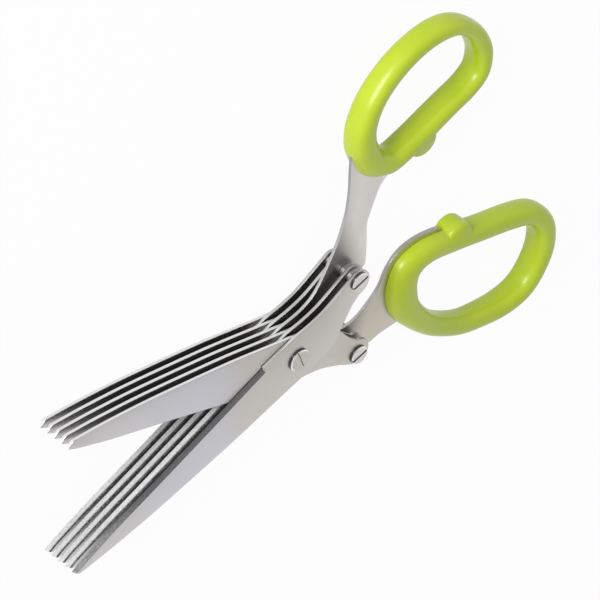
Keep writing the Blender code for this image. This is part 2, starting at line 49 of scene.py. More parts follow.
# Camera
# The scissors are seen from far off with a long lens, over the tips' side and from above,
# and the camera is rolled so that the tips point down to the left.
CAMERA_AZIMUTH = math.radians(213.81)
CAMERA_ELEVATION = math.radians(31.08)
CAMERA_ROLL = math.radians(126.89)
CAMERA_DISTANCE = 3.3787            # in metres, as all lengths here
CAMERA_AIM = Vector((0.00852, 0.01173, 0.00620))
LENS_SHARE = 20.0                   # focal length as a share of the sensor's width


def way(azimuth, elevation):
    """Unit vector at an azimuth, counted from -Y towards +X, and an elevation."""
    return Vector((math.sin(azimuth) * math.cos(elevation),
                   -math.cos(azimuth) * math.cos(elevation),
                   math.sin(elevation)))


toward_camera = way(CAMERA_AZIMUTH, CAMERA_ELEVATION)
level_right = Vector((0, 0, 1)).cross(toward_camera).normalized()
camera_right = Matrix.Rotation(CAMERA_ROLL, 3, toward_camera) @ level_right
camera_up = toward_camera.cross(camera_right)
camera_data = bpy.data.cameras.new("long_lens")
camera_data.lens = LENS_SHARE * camera_data.sensor_width
camera = bpy.data.objects.new("long_lens", camera_data)
camera.matrix_world = Matrix((camera_right, camera_up, toward_camera)).transposed().to_4x4()
camera.location = CAMERA_AIM + CAMERA_DISTANCE * toward_camera
bpy.context.scene.collection.objects.link(camera)
bpy.context.scene.camera = camera
bpy.context.scene.view_settings.view_transform = "Standard"


# Floor and light
# A plain white table top in a white tent, whose top is dimmer, so that flat steel turns
# grey. The camera sees the tent as pure white. A low softbox on the camera's side gives
# the plastic its sheen.
FLOOR_SIZE = 6.0
FLOOR_WHITE = 0.86
FLOOR_ROUGHNESS = 0.9
SHADOW_SHARE = 0.04                 # of the floor's white that a shadow can take away
TENT_LEVEL = 1.00
TENT_TOP_SHARE = 0.60               # of the tent's level, what is left straight overhead
TENT_DIM_HEIGHTS = (0.35, 1.0)      # sines of the elevations between which it dims
TENT_FILL = 0.70                    # of the tent's level, what matt surfaces get
SOFTBOX_SIZE = 0.60
SOFTBOX_DISTANCE = 1.20
SOFTBOX_POWER = 15.0
SOFTBOX_AZIMUTH = math.radians(224)
SOFTBOX_ELEVATION = math.radians(8)


class Socket:
    """One output of a node tree. A sum on it adds the Math node that works it out."""

    def __init__(self, finish, link):
        self.finish = finish
        self.link = link

    def math(self, operation, *others):
        """A Math node's result for this output and the others."""
        return self.finish.node("Math", {"operation": operation}, dict(enumerate((self,) + others)))

    def __add__(self, other):
        return self.math("ADD", other)

    def __sub__(self, other):
        return self.math("SUBTRACT", other)

    def __rsub__(self, other):
        return self.finish.node("Math", {"operation": "SUBTRACT"}, {0: other, 1: self})

    def __mul__(self, other):
        return self.math("MULTIPLY", other)

    def __abs__(self):
        return self.math("ABSOLUTE")

    def between(self, low, high):
        """0 below low and 1 above high, with a smooth step in between."""
        sockets = {"Value": self, "From Min": low, "From Max": high}
        return self.finish.node("MapRange", {"interpolation_type": "SMOOTHSTEP"}, sockets)

    __radd__ = __add__
    __rmul__ = __mul__


class Finish:
    """A material's or the world's node tree, to which nodes are added by name."""

    def __init__(self, owner):
        owner.use_nodes = True
        self.owner = owner
        self.tree = owner.node_tree

    def node(self, kind, settings=None, sockets=None, output=0):
        """Any shader node: its settings first, then the values or links of its sockets."""
        made = self.tree.nodes.new("ShaderNode" + kind)
        for name, value in (settings or {}).items():
            setattr(made, name, value)
        self.feed(made.name, sockets or {})
        return Socket(self, made.outputs[output])

    def mix(self, mask, first, second):
        """The first colour where mask is 0, and the second where it is 1."""
        return self.node("Mix", {"data_type": "RGBA"}, {0: mask, 6: first, 7: second}, 2)

    def feed(self, node_name, sockets):
        """Sets or links the sockets of a node that is there already."""
        for name, value in sockets.items():
            target = self.tree.nodes[node_name].inputs[name]
            if isinstance(value, Socket):
                self.tree.links.new(value.link, target)
            else:
                target.default_value = value


def grey(level):
    """A colour whose red, green and blue are all at this level."""
    return (level, level, level, 1.0)


tent = Finish(bpy.data.worlds.new("white_tent"))
height = tent.node("SeparateXYZ", None, {0: tent.node("TexCoord")}, "Z")
seen = tent.node("LightPath", None, None, "Is Camera Ray")
overhead = height.between(*TENT_DIM_HEIGHTS)
wall = tent.mix(overhead, grey(TENT_LEVEL), grey(TENT_TOP_SHARE * TENT_LEVEL))
mirrored = tent.node("LightPath", None, None, "Is Glossy Ray")
wall = tent.mix(mirrored, tent.mix(1.0 - TENT_FILL, wall, grey(0.0)), wall)
tent.feed("Background", {"Color": tent.mix(seen, wall, grey(1.0))})
bpy.context.scene.world = tent.owner

bpy.ops.mesh.primitive_plane_add(size=FLOOR_SIZE, location=(0, 0, 0))
floor = bpy.context.object
floor.name = "floor"
table_top = Finish(bpy.data.materials.new("white_table_top"))
table_top.feed("Principled BSDF", {"Base Color": grey(FLOOR_WHITE), "Roughness": FLOOR_ROUGHNESS,
                                   "Specular IOR Level": 0.0})
plain_white = table_top.node("Emission", None, {"Color": grey(1.0)})
direct = table_top.node("LightPath", None, None, "Is Camera Ray")
mirrored_ray = table_top.node("LightPath", None, None, "Is Glossy Ray")
lit = Socket(table_top, table_top.tree.nodes["Principled BSDF"].outputs[0])
unshaded = (direct + mirrored_ray) * (1 - SHADOW_SHARE)
shown = table_top.node("MixShader", None, {0: unshaded, 1: lit, 2: plain_white})
table_top.feed("Material Output", {"Surface": shown})
floor.data.materials.append(table_top.owner)

softbox_data = bpy.data.lights.new("softbox", "AREA")
softbox_data.size = SOFTBOX_SIZE
softbox_data.energy = SOFTBOX_POWER
softbox = bpy.data.objects.new("softbox", softbox_data)
softbox_way = way(SOFTBOX_AZIMUTH, SOFTBOX_ELEVATION)
softbox.location = CAMERA_AIM + SOFTBOX_DISTANCE * softbox_way
softbox.rotation_mode = "QUATERNION"
softbox.rotation_quaternion = softbox_way.to_track_quat("Z", "Y")
bpy.context.scene.collection.objects.link(softbox)


# Blades
# Ten stainless plates, five to a half, stamped out of 1 mm sheet, tumbled so that their
# rims are rounded, and hollow-ground along one side of the cutting edge. The middle plate
# of each half runs on as the strap that carries the loop.
MM = 0.001
HALF_TURN = {"finger": math.radians(-16.5), "thumb": math.radians(16.5)}
PLATE_COUNT = 5                     # to a half, numbered from the back
LONG_PLATE = 3
FRONT_PLATE = PLATE_COUNT
BLADE_LENGTH = 89.9 * MM
NOTCH_REACH = 11.2 * MM
HEEL_DEPTH = 9.3 * MM
NOTCH_STEP = 0.8 * MM
SPINE_DEPTH = 8.4 * MM
TIP_WIDTH = 2.8 * MM
GRIND_WIDTH = 1.9 * MM
FRONT_GRIND_WIDTH = 1.45 * MM
GRIND_SAG = 0.30                    # how hollow the grind is, as a share of its fall
GRIND_STEPS = 9
EDGE_LAND = 0.06 * MM
TANG_REACH = 26.5 * MM
TANG_END_RADIUS = 4.5 * MM
TANG_END_INSET = 0.6 * MM
TANG_END_RISE = 0.9 * MM
TANG_END_ARC = (-80, 100)           # degrees, from below the tang's axis round to above it
TANG_END_STEPS = 40
RIM_RADIUS = 0.12 * MM
RIM_STEPS = 5
CREASE = math.radians(28)           # edges sharper than this stay sharp
HOLE_GAP = 0.05 * MM
BARREL_RADIUS = {"pivot": 2.0 * MM, "tang": 1.4 * MM}
PAST = 1.0 * MM                     # cutters pass their target by this much
MERGE_DISTANCE = 0.0001 * MM        # points closer than this are one
FINE_STEPS = 12                     # points to a span of an outline
ROUND_STEPS = 96                    # points round a turned piece or a hole
STRAP_START = 2 * FINE_STEPS // 3   # points of the shoulder that the strap replaces
# Lengths along and across that the points of each strap are shares of.
STRAP_SCALE = {"finger": (46.8 * MM, 37.1 * MM), "thumb": (46.6 * MM, 37.0 * MM)}

EDGE_SHARES = [(1.000, 0.11), (0.962, 0.205), (0.880, 0.31), (0.795, 0.40), (0.576, 0.55),
               (0.335, 0.74)]
TIP_CORNER_SHARES = [(0.36, 0.50), (0.62, 0.80)]
SPINE_SHARES = [(-0.095, 0.99), (-0.020, 0.99), (0.055, 0.96), (0.125, 0.935), (0.268, 0.90),
                (0.385, 0.84), (0.655, 0.63), (0.845, 0.39), (0.950, 0.205)]
HEEL_SHARES = [(-0.19, 1.01), (0.06, 0.99), (0.26, 0.91), (0.49, 0.90), (0.75, 1.03)]
SHOULDER_SHARES = [(0.83, -0.08), (0.67, 0.32), (0.55, 0.63), (0.465, 0.880)]
STRAP_INNER_SHARES = {
    "finger": [(0.530, -0.060), (0.630, -0.016), (0.709, 0.081), (0.780, 0.213), (0.812, 0.372),
               (0.859, 0.472), (0.938, 0.555), (1.060, 0.598), (1.200, 0.606)],
    "thumb": [(0.600, 0.052), (0.706, 0.070), (0.742, 0.143), (0.788, 0.300), (0.830, 0.462),
              (0.867, 0.530), (0.933, 0.627), (1.009, 0.722), (1.090, 0.770)]}
STRAP_OUTER_SHARES = {
    "finger": [(1.045, -0.207), (0.980, -0.229), (0.889, -0.267), (0.820, -0.310), (0.690, -0.330)],
    "thumb": [(0.895, 1.280), (0.852, 1.141), (0.803, 0.968), (0.740, 0.797), (0.685, 0.689),
              (0.597, 0.551), (0.487, 0.419), (0.386, 0.311), (0.305, 0.250), (0.225, 0.228)]}
STRAP_END_SHARES = {
    "finger": [(1.265, 0.560), (1.190, 0.480), (1.095, 0.400), (1.030, 0.295), (1.005, 0.150),
               (1.040, -0.020), (1.110, -0.130)],
    "thumb": [(1.180, 0.830), (1.110, 0.900), (1.040, 1.020), (1.005, 1.160), (0.990, 1.300),
              (0.950, 1.340)]}


def smooth(points, steps=FINE_STEPS, closed=False):
    """Catmull-Rom curve: each span is a cubic that leaves a point along its neighbours' chord."""
    points = np.asarray(points, float)
    if closed:
        before, start, end, after = (np.roll(points, shift, 0) for shift in (1, 0, -1, -2))
    else:
        padded = np.vstack([points[:1], points, points[-1:]])
        before, start, end, after = padded[:-3], padded[1:-2], padded[2:-1], padded[3:]
    before, start, end, after = (p[:, None, :] for p in (before, start, end, after))
    t = (np.arange(steps) / steps)[None, :, None]
    run = (2 * start + (end - before) * t + (2 * before - 5 * start + 4 * end - after) * t ** 2
           + (3 * start - before - 3 * end + after) * t ** 3) / 2
    run = run.reshape(-1, points.shape[1])
    return run if closed else np.vstack([run, points[-1:]])


def scaled(shares, across, up):
    """Points given as shares of a length across and a length up."""
    return np.array(shares) * (across, up)


def turned(points, angle):
    """Points turned about the pivot axis, which is Z, by an angle in radians."""
    c, s = math.cos(angle), math.sin(angle)
    flat = points[..., :2] @ np.array([[c, s], [-s, c]])
    return np.concatenate([flat, points[..., 2:]], axis=-1)


def centre_of(node):
    """Middle of a CAD node's box, seen from above."""
    low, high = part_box(node)
    return np.array((low + high) / 2)[:2]


edge_points = np.vstack([scaled(EDGE_SHARES, -BLADE_LENGTH, -HEEL_DEPTH),
                         (-NOTCH_REACH, NOTCH_STEP - HEEL_DEPTH)])
cutting_edge = smooth(edge_points)
spine = smooth(scaled(SPINE_SHARES, -BLADE_LENGTH, SPINE_DEPTH))
tip_corner = (edge_points[0] + scaled(TIP_CORNER_SHARES, TIP_WIDTH, TIP_WIDTH))[::-1]
shoulder = smooth(scaled(SHOULDER_SHARES, TANG_REACH, SPINE_DEPTH))
heel_points = np.vstack([(-NOTCH_REACH, -HEEL_DEPTH), scaled(HEEL_SHARES, TANG_REACH, -HEEL_DEPTH)])
tang_place = {half: turned(centre_of(half + "_tang_collar_1"), -HALF_TURN[half]) for half in HALF_TURN}


def short_outline(half):
    """Tip, cutting edge, heel, the tang's round end, shoulder and spine, as a closed run."""
    reach, drop = tang_place[half]
    centre = np.array((reach - TANG_END_INSET, TANG_END_RISE - abs(drop)))
    angle = np.radians(np.linspace(*TANG_END_ARC, TANG_END_STEPS))
    end = centre + TANG_END_RADIUS * np.stack([np.cos(angle), np.sin(angle)], 1)
    return np.vstack([cutting_edge, smooth(heel_points), end, shoulder, spine, tip_corner])


def long_outline(half):
    """As the short plate, but the heel side and the shoulder run on into the strap."""
    inner, outer, covered = (scaled(shares[half], *STRAP_SCALE[half])
                             for shares in (STRAP_INNER_SHARES, STRAP_OUTER_SHARES, STRAP_END_SHARES))
    if half == "thumb":
        inner, outer, covered = (side * (1, -1) for side in (inner, outer, covered))
    heel = heel_points[heel_points[:, 0] < outer[-1, 0]]
    end = np.vstack([smooth(np.vstack([outer[:1], covered[::-1]]))[:-1],
                     smooth(np.vstack([covered[:1], inner[::-1]]))])
    joined = smooth(np.vstack([heel, outer[::-1]]))[:-1]
    return np.vstack([cutting_edge, joined, end, shoulder[STRAP_START:], spine, tip_corner])


def plate_outline(half, number):
    """The plate's outline where it lies at rest, one way round on both halves."""
    outline = long_outline(half) if number == LONG_PLATE else short_outline(half)
    if half == "thumb":
        outline = (outline * (1, -1))[::-1]
    return turned(outline, HALF_TURN[half])


def grid_faces(rows, columns, wrap_rows=False, wrap_columns=False):
    """Quads between neighbouring rows and columns of a grid of points."""
    i = np.arange(rows if wrap_rows else rows - 1)[:, None]
    j = np.arange(columns if wrap_columns else columns - 1)[None, :]
    i_next, j_next = (i + 1) % rows, (j + 1) % columns
    corners = (i * columns + j, i_next * columns + j, i_next * columns + j_next, i * columns + j_next)
    return np.stack([np.broadcast_to(c, (i.size, j.size)) for c in corners], -1).reshape(-1, 4)


def closed_mesh(name, points, faces, flat_faces=()):
    """A mesh with doubles merged and normals turned outwards. Its flat_faces, caps, stay flat."""
    mesh = bpy.data.meshes.new(name)
    corners = [list(face) for face in faces] + [list(face) for face in flat_faces]
    mesh.from_pydata(points.reshape(-1, 3).tolist(), [], corners)
    shape = bmesh.new()
    shape.from_mesh(mesh)
    shape.faces.ensure_lookup_table()
    for face in shape.faces:
        face.smooth = face.index < len(faces)
    bmesh.ops.remove_doubles(shape, verts=shape.verts, dist=MERGE_DISTANCE)
    bmesh.ops.recalc_face_normals(shape, faces=shape.faces)
    shape.to_mesh(mesh)
    shape.free()
    return mesh


def swept_mesh(name, path, section, closed):
    """A section carried along a flat path: (inwards off the path, height) at each path point.

    The path's left side is inwards, and at a corner the section is carried on its mitre.
    An open sweep gets flat end caps, and a closed one flat caps over its first and last
    section line.
    """
    step = np.roll(path, -1, 0) - path
    step /= np.linalg.norm(step, axis=1)[:, None]
    ahead = step + np.roll(step, 1, 0)
    if not closed:
        ahead[0], ahead[-1] = 2 * step[0], 2 * step[-2]
    inward = 2 * np.stack([-ahead[:, 1], ahead[:, 0]], 1) / (ahead ** 2).sum(1)[:, None]
    points = np.empty((len(path), len(section), 3))
    points[..., :2] = path[:, None] + inward[:, None] * section[None, :, :1]
    points[..., 2] = section[:, 1]
    index = np.arange(len(path) * len(section)).reshape(len(path), len(section))
    caps = (index[:, 0], index[:, -1]) if closed else (index[0], index[-1])
    faces = grid_faces(len(path), len(section), wrap_rows=closed, wrap_columns=not closed)
    return closed_mesh(name, points, faces, caps)


def plate_mesh(name, outline, bottom, top):
    """A flat plate whose rim is rounded by a quarter circle at each face."""
    turn = np.radians(np.linspace(0, 90, RIM_STEPS))
    inset, rise = RIM_RADIUS * (1 - np.cos(turn)), RIM_RADIUS * (1 - np.sin(turn))
    low, high = np.stack([inset[::-1], bottom + rise[::-1]], 1), np.stack([inset, top - rise], 1)
    return swept_mesh(name, outline, np.vstack([low, high]), closed=True)


def rod_mesh(name, radius, bottom, top, centre):
    """An upright rod: a circle round centre, carried from bottom to top."""
    angle = np.linspace(0, 2 * math.pi, ROUND_STEPS, endpoint=False)
    circle = centre + radius * np.stack([np.cos(angle), np.sin(angle)], 1)
    return swept_mesh(name, circle, np.array([(0.0, bottom), (0.0, top)]), closed=True)


def grind_mesh(name, half, bottom, top, width):
    """The steel that the wheel takes off along the cutting edge.

    The face that it leaves falls from the plate's flat to a thin land at the edge. The fall
    is a straight line sunk by a parabola, and the cutter runs on past the flat at its slope.
    """
    fall = top - bottom - EDGE_LAND
    x = np.linspace(0, 1, GRIND_STEPS)
    hollow = np.stack([width * x, EDGE_LAND + fall * (x - GRIND_SAG * x * (1 - x))], 1)
    slope = (1 + GRIND_SAG) * fall / width
    last = hollow[-1] + (PAST, slope * PAST)
    section = np.vstack([(-PAST, EDGE_LAND), hollow, last, (-PAST, last[1])])
    level = section[:, 1] if half == "thumb" else top - bottom - section[:, 1]
    outward = cutting_edge[0] - cutting_edge[1]
    start = cutting_edge[0] + outward * PAST / np.linalg.norm(outward)
    path = np.vstack([start, cutting_edge[:-1], cutting_edge[-1] - (HOLE_GAP, 0)])
    inward = section[:, 0]
    if half == "thumb":
        path, inward = path * (1, -1), -inward
    section = np.stack([inward, bottom + level], 1)
    return swept_mesh(name, turned(path, HALF_TURN[half]), section, closed=False)


def cut(name, mesh, cutters):
    """The mesh less the cutters, worked out at once, as a new object at the origin."""
    whole = bpy.data.objects.new(name + "_blank", mesh)
    tools = [bpy.data.objects.new(tool.name, tool) for tool in cutters]
    for thing in [whole] + tools:
        bpy.context.scene.collection.objects.link(thing)
    for tool in tools:
        step = whole.modifiers.new(tool.name, "BOOLEAN")
        step.object = tool
        step.solver = "EXACT"
    bpy.context.view_layer.update()
    graph = bpy.context.evaluated_depsgraph_get()
    left = bpy.data.meshes.new_from_object(whole.evaluated_get(graph))
    for thing in [whole] + tools:
        bpy.data.objects.remove(thing)
    left.name = name
    piece = bpy.data.objects.new(name, left)
    bpy.context.scene.collection.objects.link(piece)
    return piece


def fit(piece, node, finish):
    """The piece stands for its CAD node, rides on that node's body and takes its finish."""
    piece.data.materials.clear()
    piece.data.materials.append(finish.owner)
    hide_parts(node)
    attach(piece, "thumb_half" if node.startswith("thumb") else "finger_half")


# Reaches run along the blade from the pivot, below zero towards the tip, and a pair of
# them is the stretch over which one tone gives way to the next. Tilt is 1 less the height
# of the surface's normal: 0 on a plate's faces and 1 on its rim.
# Painted reflection: the face's tone at the tip, in the middle and at the pivot.
PAINTED_REFLECTION_TONE = {"tip": (0.60, 0.58, 0.59, 1), "middle": (0.58, 0.575, 0.62, 1),
             "pivot": (0.555, 0.525, 0.485, 1)}
# Painted light and shade: one steel, darker and warmer on the finger strap, lighter on the thumb
# strap.
STRAP_LIGHT_AND_SHADE_TONE = {"finger": (0.55, 0.505, 0.43, 1), "thumb": (0.69, 0.66, 0.62, 1)}
GRAIN_TONE = 0.50
# Painted shade for the faces that the next plate covers.
PAINTED_GAP_SHADE_TONE = 0.05
# Painted shade: surfaces that look down are darkened towards this tone.
PAINTED_UNDERSIDE_SHADE = 0.20
# Painted light and shade on the rims: a highlight on the blade, shade on the tang and strap.
PAINTED_RIM_LIGHT_AND_SHADE = {"blade": 0.76, "tang": 0.48, "strap": 0.36}
TIP_TO_MIDDLE = (-62 * MM, -38 * MM)
MIDDLE_TO_PIVOT = (-30 * MM, -10 * MM)
PIVOT_TO_STRAP = (20 * MM, 45 * MM)
CLOUD_DRIFT = 16 * MM               # how far a soft cloud shifts the three stretches above
TIP_TO_EDGE = (-88 * MM, -58 * MM)
TANG_TO_STRAP = (24 * MM, 36 * MM)
BLADE_RIM_TO_TANG = (-8 * MM, 12 * MM)
TANG_RIM_TO_STRAP = (30 * MM, 42 * MM)
GROUND_TILT = (0.02, 0.05)
ROOT_TILT_STEP = 0.03
RIM_TILT = (0.25, 0.60)
GRAIN_STRETCH = 30                  # how much longer the grain is than it is wide
GRAIN_RANGE = (0.3, 0.7)            # of the grain's noise, from none of its tone to all
GRAIN_SHARE = 0.25                  # of the grain's tone, at its strongest
ROOT_GRAIN = 0.006                  # tilt by which the grain frays the root's border
SPECKLE_RANGE = (0.42, 0.62)
SPECKLE_SHARE = 0.36
SPECKLE_SHADE = 0.5                 # of the edge's tone, what the speckles have
BACK_FACING = (0.5, 0.9)            # how far a surface looks down before it darkens
UNDERSIDE_SHADE_SHARE = 0.5
SATIN_ROUGHNESS = 0.27
GRAIN_ROUGHNESS = 0.10
GROUND_ROUGHNESS = 0.20


def satin_steel(name, half, edge_tone, tip_tone, painted_root_shade_tone, root_tilt, ground_shine, gap_share):
    """Satin stainless sheet, with its grain along the blades of one half.

    Its tone drifts from neutral at the tip to cool in the middle of the blade and warm at
    the pivot, a painted reflection, and each half's strap has its own tone of painted light
    and shade. The ground band has one tone along the edge, another towards the tip and a
    third at its root, which is where it tilts more than root_tilt; these are painted light
    and shade, darkest at the root. It is dull where its shine is low. gap_share is how much
    light is left on the faces that the next plate covers: the blade and the tang, but not
    the strap; the rest is painted shade. Surfaces that look down get painted shade, and the
    rims a painted highlight on the blade and painted shade on the tang and strap.
    """
    finish = Finish(bpy.data.materials.new(name))
    place = finish.node("TexCoord", None, None, "Object")
    width = 1 / GRAIN_STRETCH
    along = finish.node("Mapping", {"vector_type": "TEXTURE"}, {
        "Vector": place, "Rotation": (0, 0, HALF_TURN[half]), "Scale": (1.0, width, width)})
    reach = finish.node("SeparateXYZ", None, {0: along}, "X")
    grain = finish.node("TexNoise", None, {"Vector": along, "Scale": 120.0, "Detail": 5.0,
                                           "Roughness": 0.6})
    cloud = finish.node("TexNoise", None, {"Vector": place, "Scale": 34.0, "Detail": 2.0})
    speckle = finish.node("TexNoise", None, {"Vector": place, "Scale": 1500.0, "Detail": 3.0})
    facing = finish.node("SeparateXYZ", None, {0: finish.node("TexCoord", None, None, "Normal")}, "Z")
    tilt = 1 - abs(facing)
    rim = tilt.between(*RIM_TILT)
    ground = tilt.between(*GROUND_TILT) - rim
    drift = reach + CLOUD_DRIFT * cloud
    # Painted reflection: neutral at the tip, cool in the middle, warm at the pivot.
    face = finish.mix(drift.between(*TIP_TO_MIDDLE), PAINTED_REFLECTION_TONE["tip"], PAINTED_REFLECTION_TONE["middle"])
    face = finish.mix(drift.between(*MIDDLE_TO_PIVOT), face, PAINTED_REFLECTION_TONE["pivot"])
    # Painted light and shade: each half's strap takes its own tone.
    face = finish.mix(drift.between(*PIVOT_TO_STRAP), face, STRAP_LIGHT_AND_SHADE_TONE[half])
    face = finish.mix(grain.between(*GRAIN_RANGE) * GRAIN_SHARE, face, grey(GRAIN_TONE))
    # Painted shade: the faces under the next plate, from the blade to the tang, are darkened.
    covered = reach.between(*TIP_TO_EDGE) * (1 - reach.between(*TANG_TO_STRAP))
    painted_gap_shade = covered * (1 - gap_share)
    face = finish.mix(painted_gap_shade, face, grey(PAINTED_GAP_SHADE_TONE))
    # Painted light and shade on the ground band: its tones along the edge and towards the tip, and the
    # darkest one at its root.
    root = (tilt + ROOT_GRAIN * grain).between(root_tilt, root_tilt + ROOT_TILT_STEP)
    along_edge = finish.mix(reach.between(*TIP_TO_EDGE), grey(tip_tone), grey(edge_tone))
    band = finish.mix(root, along_edge, grey(painted_root_shade_tone))
    speckled = speckle.between(*SPECKLE_RANGE) * SPECKLE_SHARE
    band = finish.mix(speckled, band, grey(SPECKLE_SHADE * edge_tone))
    steel = finish.mix(ground, face, band)
    # Painted shade on surfaces that look down.
    steel = finish.mix((facing * -1).between(*BACK_FACING) * UNDERSIDE_SHADE_SHARE, steel, grey(PAINTED_UNDERSIDE_SHADE))
    # Painted highlight on the blade's rims, painted shade on the tang's and strap's.
    edge, tang_edge, strap_edge = (grey(PAINTED_RIM_LIGHT_AND_SHADE[part]) for part in ("blade", "tang", "strap"))
    edge = finish.mix(reach.between(*BLADE_RIM_TO_TANG), edge, tang_edge)
    edge = finish.mix(reach.between(*TANG_RIM_TO_STRAP), edge, strap_edge)
    steel = finish.mix(rim, steel, edge)
    lines = {"Height": grain, "Strength": 0.10, "Distance": 0.02 * MM}
    finish.feed("Principled BSDF", {
        "Base Color": steel, "Metallic": 1 - ground * (1 - ground_shine),
        "Roughness": SATIN_ROUGHNESS + GRAIN_ROUGHNESS * grain + GROUND_ROUGHNESS * (ground + painted_gap_shade),
        "Normal": finish.node("Bump", None, lines, "Normal")})
    return finish


for half in HALF_TURN:
    # Painted light and shade: the inner plates' bands are lit bright with a dark root, the front
    # plate's band is darker.
    inner_steel = satin_steel(
        half + "_inner_satin_steel", half, edge_tone=1.0, tip_tone=0.9, painted_root_shade_tone=0.04,
        root_tilt=0.115, ground_shine=0.1, gap_share=0.35)
    front_steel = satin_steel(
        half + "_front_satin_steel", half, edge_tone=0.20, tip_tone=0.50, painted_root_shade_tone=0.13,
        root_tilt=0.21, ground_shine=1.0, gap_share=1.0)
    tang = centre_of(half + "_tang_collar_1")
    for number in range(1, PLATE_COUNT + 1):
        node = f"{half}_blade_{number}"
        name = f"{half}_plate_{number}"
        bottom, top = (corner.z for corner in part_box(node))
        low, high = bottom - PAST, top + PAST
        blank = plate_mesh(name, plate_outline(half, number), bottom, top)
        width = FRONT_GRIND_WIDTH if number == FRONT_PLATE else GRIND_WIDTH
        tools = [grind_mesh(name + "_grind", half, bottom, top, width),
                 rod_mesh(name + "_pivot_hole", BARREL_RADIUS["pivot"] + HOLE_GAP, low, high, (0, 0)),
                 rod_mesh(name + "_tang_hole", BARREL_RADIUS["tang"] + HOLE_GAP, low, high, tang)]
        plate = cut(name, blank, tools)
        plate.data.set_sharp_from_angle(angle=CREASE)
        fit(plate, node, front_steel if number == FRONT_PLATE else inner_steel)


# Pivot and tang posts
# Each post is a turned steel barrel with a flat back foot, closed from the front by a
# cheese-head screw with a milled slot. Turned collars and washers on them space the plates.
FOOT_CHAMFER = 0.25 * MM
HEAD_HEIGHT = 0.9 * MM
HEAD_CHAMFER = 0.35 * MM
SLOT_WIDTH = 0.8 * MM
SLOT_DEPTH = 0.4 * MM
SCREW_SHARE = 0.55                  # screw radius as a share of its barrel's
TOOL_MARK = 0.07 * MM               # pitch of the turning marks
WAVE_PITCH = math.pi / 10           # of a wave texture's rings at scale 1
EDGE_BREAK = 0.06 * MM
EDGE_BREAK_ANGLE = math.radians(30)
SLOT_TURN = {"pivot": math.radians(106.5), "finger_tang": math.radians(13.5),
             "thumb_tang": math.radians(15.5)}
BARREL_TONE = (0.52, 0.52, 0.51)
SCREW_TONE = {"pivot": (0.56, 0.53, 0.49), "finger_tang": (0.68, 0.67, 0.65),
              "thumb_tang": (0.68, 0.67, 0.65)}
MARK_SHADES = (0.72, 0.71, 0.70)    # of the tone's red, green and blue, left in the marks
MARK_SHARE = 0.30
STAIN_RANGE = (0.52, 0.75)          # of the stains' noise, from none of their tone to all
STAIN_TONE = 0.30
STAIN_SHARE = 0.35
# Painted highlight on the broken edges.
PAINTED_EDGE_HIGHLIGHT_TONE = 0.80
BROKEN_EDGE_TILT = (0.08, 0.20)
# Painted shade: upright walls are darkened towards their own tone.
WALL_TILT = (0.45, 0.85)
STAIN_ROUGHNESS = 0.12


def lathe_mesh(name, profile, centre, ring=False):
    """A profile of (radius, height) turned about an upright axis through centre.

    A ring's profile closes on itself, and any other starts and ends on the axis.
    """
    radius, level = np.array(profile).T
    angle = np.linspace(0, 2 * math.pi, ROUND_STEPS, endpoint=False)[:, None]
    points = np.stack([centre[0] + radius * np.cos(angle), centre[1] + radius * np.sin(angle),
                       np.broadcast_to(level, (ROUND_STEPS, level.size))], -1)
    faces = grid_faces(ROUND_STEPS, level.size, wrap_rows=True, wrap_columns=ring)
    return closed_mesh(name, points, faces)


def turned_steel(name, centre, tone, painted_wall_shade, roughness):
    """Steel off the lathe: fine rings about the piece's own axis, a painted highlight on broken edges
    and painted shade on its walls.
    """
    finish = Finish(bpy.data.materials.new(name))
    place = finish.node("TexCoord", None, None, "Object")
    own = finish.node("Mapping", None, {"Vector": place, "Location": (-centre[0], -centre[1], 0)})
    rings = finish.node("TexWave", {"wave_type": "RINGS", "rings_direction": "Z"},
                        {"Vector": own, "Scale": WAVE_PITCH / TOOL_MARK, "Distortion": 0.6}, "Fac")
    stain = finish.node("TexNoise", None, {"Vector": own, "Scale": 500.0, "Detail": 3.0})
    mark_tone = tuple(level * shade for level, shade in zip(tone, MARK_SHADES))
    steel = finish.mix(rings * MARK_SHARE, (*tone, 1), (*mark_tone, 1))
    steel = finish.mix(stain.between(*STAIN_RANGE) * STAIN_SHARE, steel, grey(STAIN_TONE))
    facing = finish.node("SeparateXYZ", None, {0: finish.node("TexCoord", None, None, "Normal")}, "Z")
    tilt = 1 - abs(facing)
    # Painted highlight on the broken edges.
    steel = finish.mix(tilt.between(*BROKEN_EDGE_TILT), steel, grey(PAINTED_EDGE_HIGHLIGHT_TONE))
    # Painted shade on the upright walls.
    steel = finish.mix(tilt.between(*WALL_TILT), steel, grey(painted_wall_shade))
    marks = {"Height": rings, "Strength": 0.12, "Distance": 0.01 * MM}
    finish.feed("Principled BSDF", {
        "Base Color": steel, "Metallic": 1.0, "Roughness": roughness + STAIN_ROUGHNESS * stain,
        "Normal": finish.node("Bump", None, marks, "Normal")})
    return finish


def add_turned(name, node, mesh, cutters, steel):
    """A turned piece in place of its CAD node, with a small round on every edge."""
    piece = cut(name, mesh, cutters)
    round_off = piece.modifiers.new("edge_break", "BEVEL")
    round_off.width = EDGE_BREAK
    round_off.segments = 2
    round_off.limit_method = "ANGLE"
    round_off.angle_limit = EDGE_BREAK_ANGLE
    round_off.harden_normals = True
    fit(piece, node, steel)


def radius_of(node):
    """Half the width of a round CAD node."""
    low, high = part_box(node)
    return (high.x - low.x) / 2


def rear_face(label):
    """Height of the back of the rearmost plate, on which the post's foot bears."""
    rear_plate = "thumb_blade_1" if label.startswith("thumb") else "finger_blade_1"
    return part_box(rear_plate)[0].z


